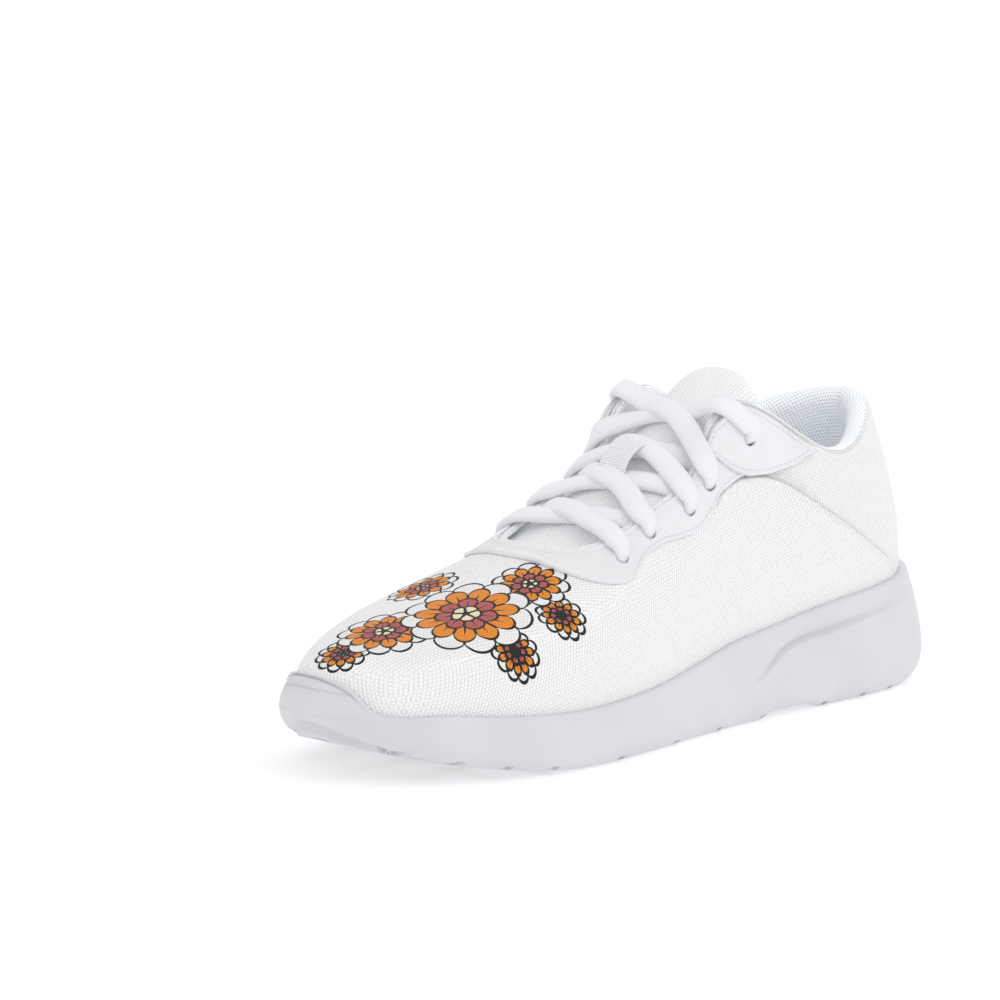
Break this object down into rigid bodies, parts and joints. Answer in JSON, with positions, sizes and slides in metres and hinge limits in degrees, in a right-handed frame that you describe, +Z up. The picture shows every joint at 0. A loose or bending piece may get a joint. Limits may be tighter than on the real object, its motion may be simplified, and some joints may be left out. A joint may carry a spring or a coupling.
{
  "type": "running shoe",
  "caption": "Low mesh running shoe for the left foot, empty, with a ribbed foam sole, smooth eyestay and tabs, padded collar, tongue, insole and crossed laces.",
  "frame": {"origin": "on the floor, under the middle of the shoe's bounding box", "axes": "+X to the toe, +Y to the outer side of the left foot, +Z up"},
  "size_m": [0.29, 0.1056, 0.119],
  "materials": {
    "sole": "matt moulded foam, pale lilac white",
    "mesh": "woven mesh, near white",
    "overlay": "smooth synthetic leather, pale grey lilac",
    "tongue": "padded woven mesh, near white",
    "webbing": "flat woven webbing",
    "lining": "spacer mesh, pale blue grey",
    "lace": "woven flat oval lace, lilac white"
  },
  "bodies": {
    "root": {"sole": "sole", "upper": "mesh", "eyestay": "overlay", "lateral_tab": "overlay", "medial_tab": "overlay", "tongue": "tongue", "tongue_loop": "webbing", "insole": "lining", "lace_crossing_1": "lace", "lace_crossing_2": "lace", "lace_crossing_3": "lace", "lace_crossing_4": "lace"}
  },
  "joints": []
}
